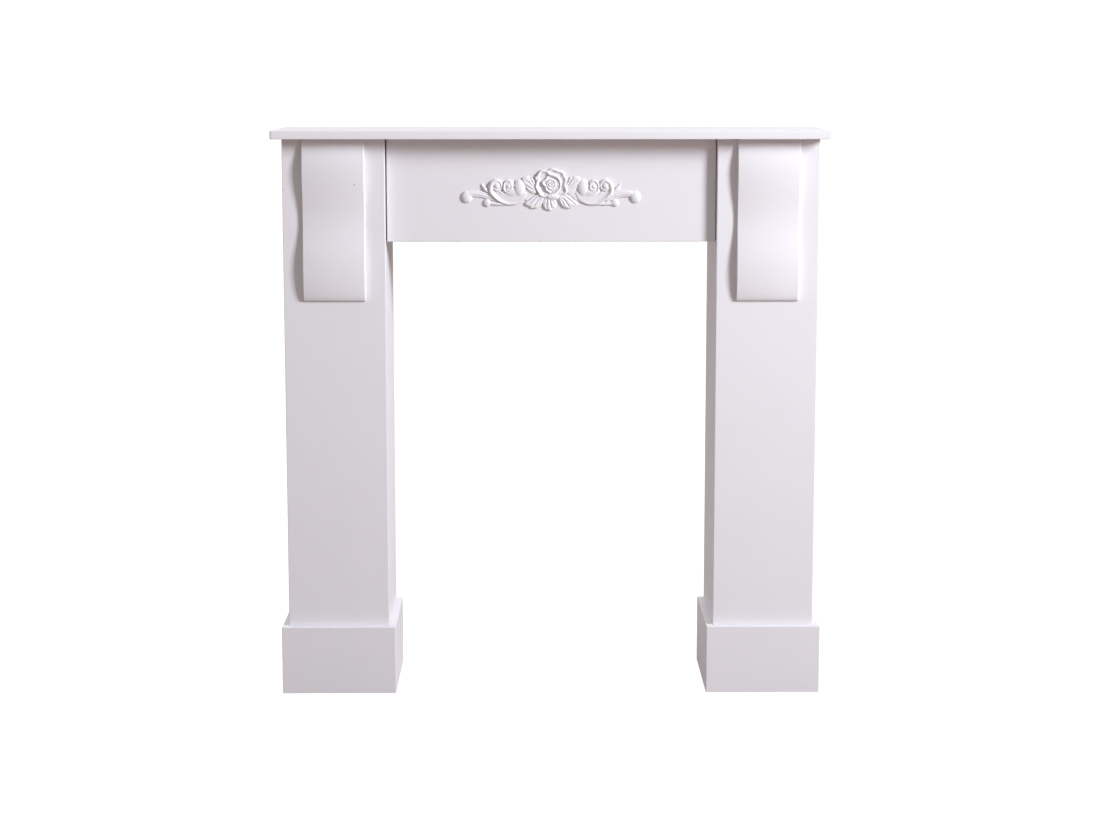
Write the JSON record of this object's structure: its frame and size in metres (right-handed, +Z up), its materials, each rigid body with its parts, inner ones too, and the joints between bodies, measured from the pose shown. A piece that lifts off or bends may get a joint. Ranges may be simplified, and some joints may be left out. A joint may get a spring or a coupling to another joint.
{
  "type": "fireplace mantelpiece",
  "caption": "White painted freestanding fire surround: two hollow pillars on skirted bases, a frieze with a cast rose ornament, scroll corbels and a shelf.",
  "frame": {"origin": "on the floor, under the middle of the overall box", "axes": "+Z up, the front faces -Y, the back that goes to the wall faces +Y, +X to the right as seen from the front"},
  "size_m": [1, 0.24, 1.0353],
  "materials": {
    "painted_board": "fibreboard under smooth satin white paint",
    "painted_corbel": "shaped wood under smooth satin white paint",
    "painted_casting": "cast resin under satin white paint"
  },
  "bodies": {
    "root": {"shelf": "painted_board", "frieze": "painted_board", "rose_ornament": "painted_casting", "left_corbel": "painted_corbel", "right_corbel": "painted_corbel", "left_pillar_front": "painted_board", "left_pillar_outer_side": "painted_board", "left_pillar_inner_side": "painted_board", "right_pillar_front": "painted_board", "right_pillar_outer_side": "painted_board", "right_pillar_inner_side": "painted_board", "left_base_front": "painted_board", "left_base_outer_side": "painted_board", "left_base_inner_side": "painted_board", "right_base_front": "painted_board", "right_base_outer_side": "painted_board", "right_base_inner_side": "painted_board"}
  },
  "joints": []
}
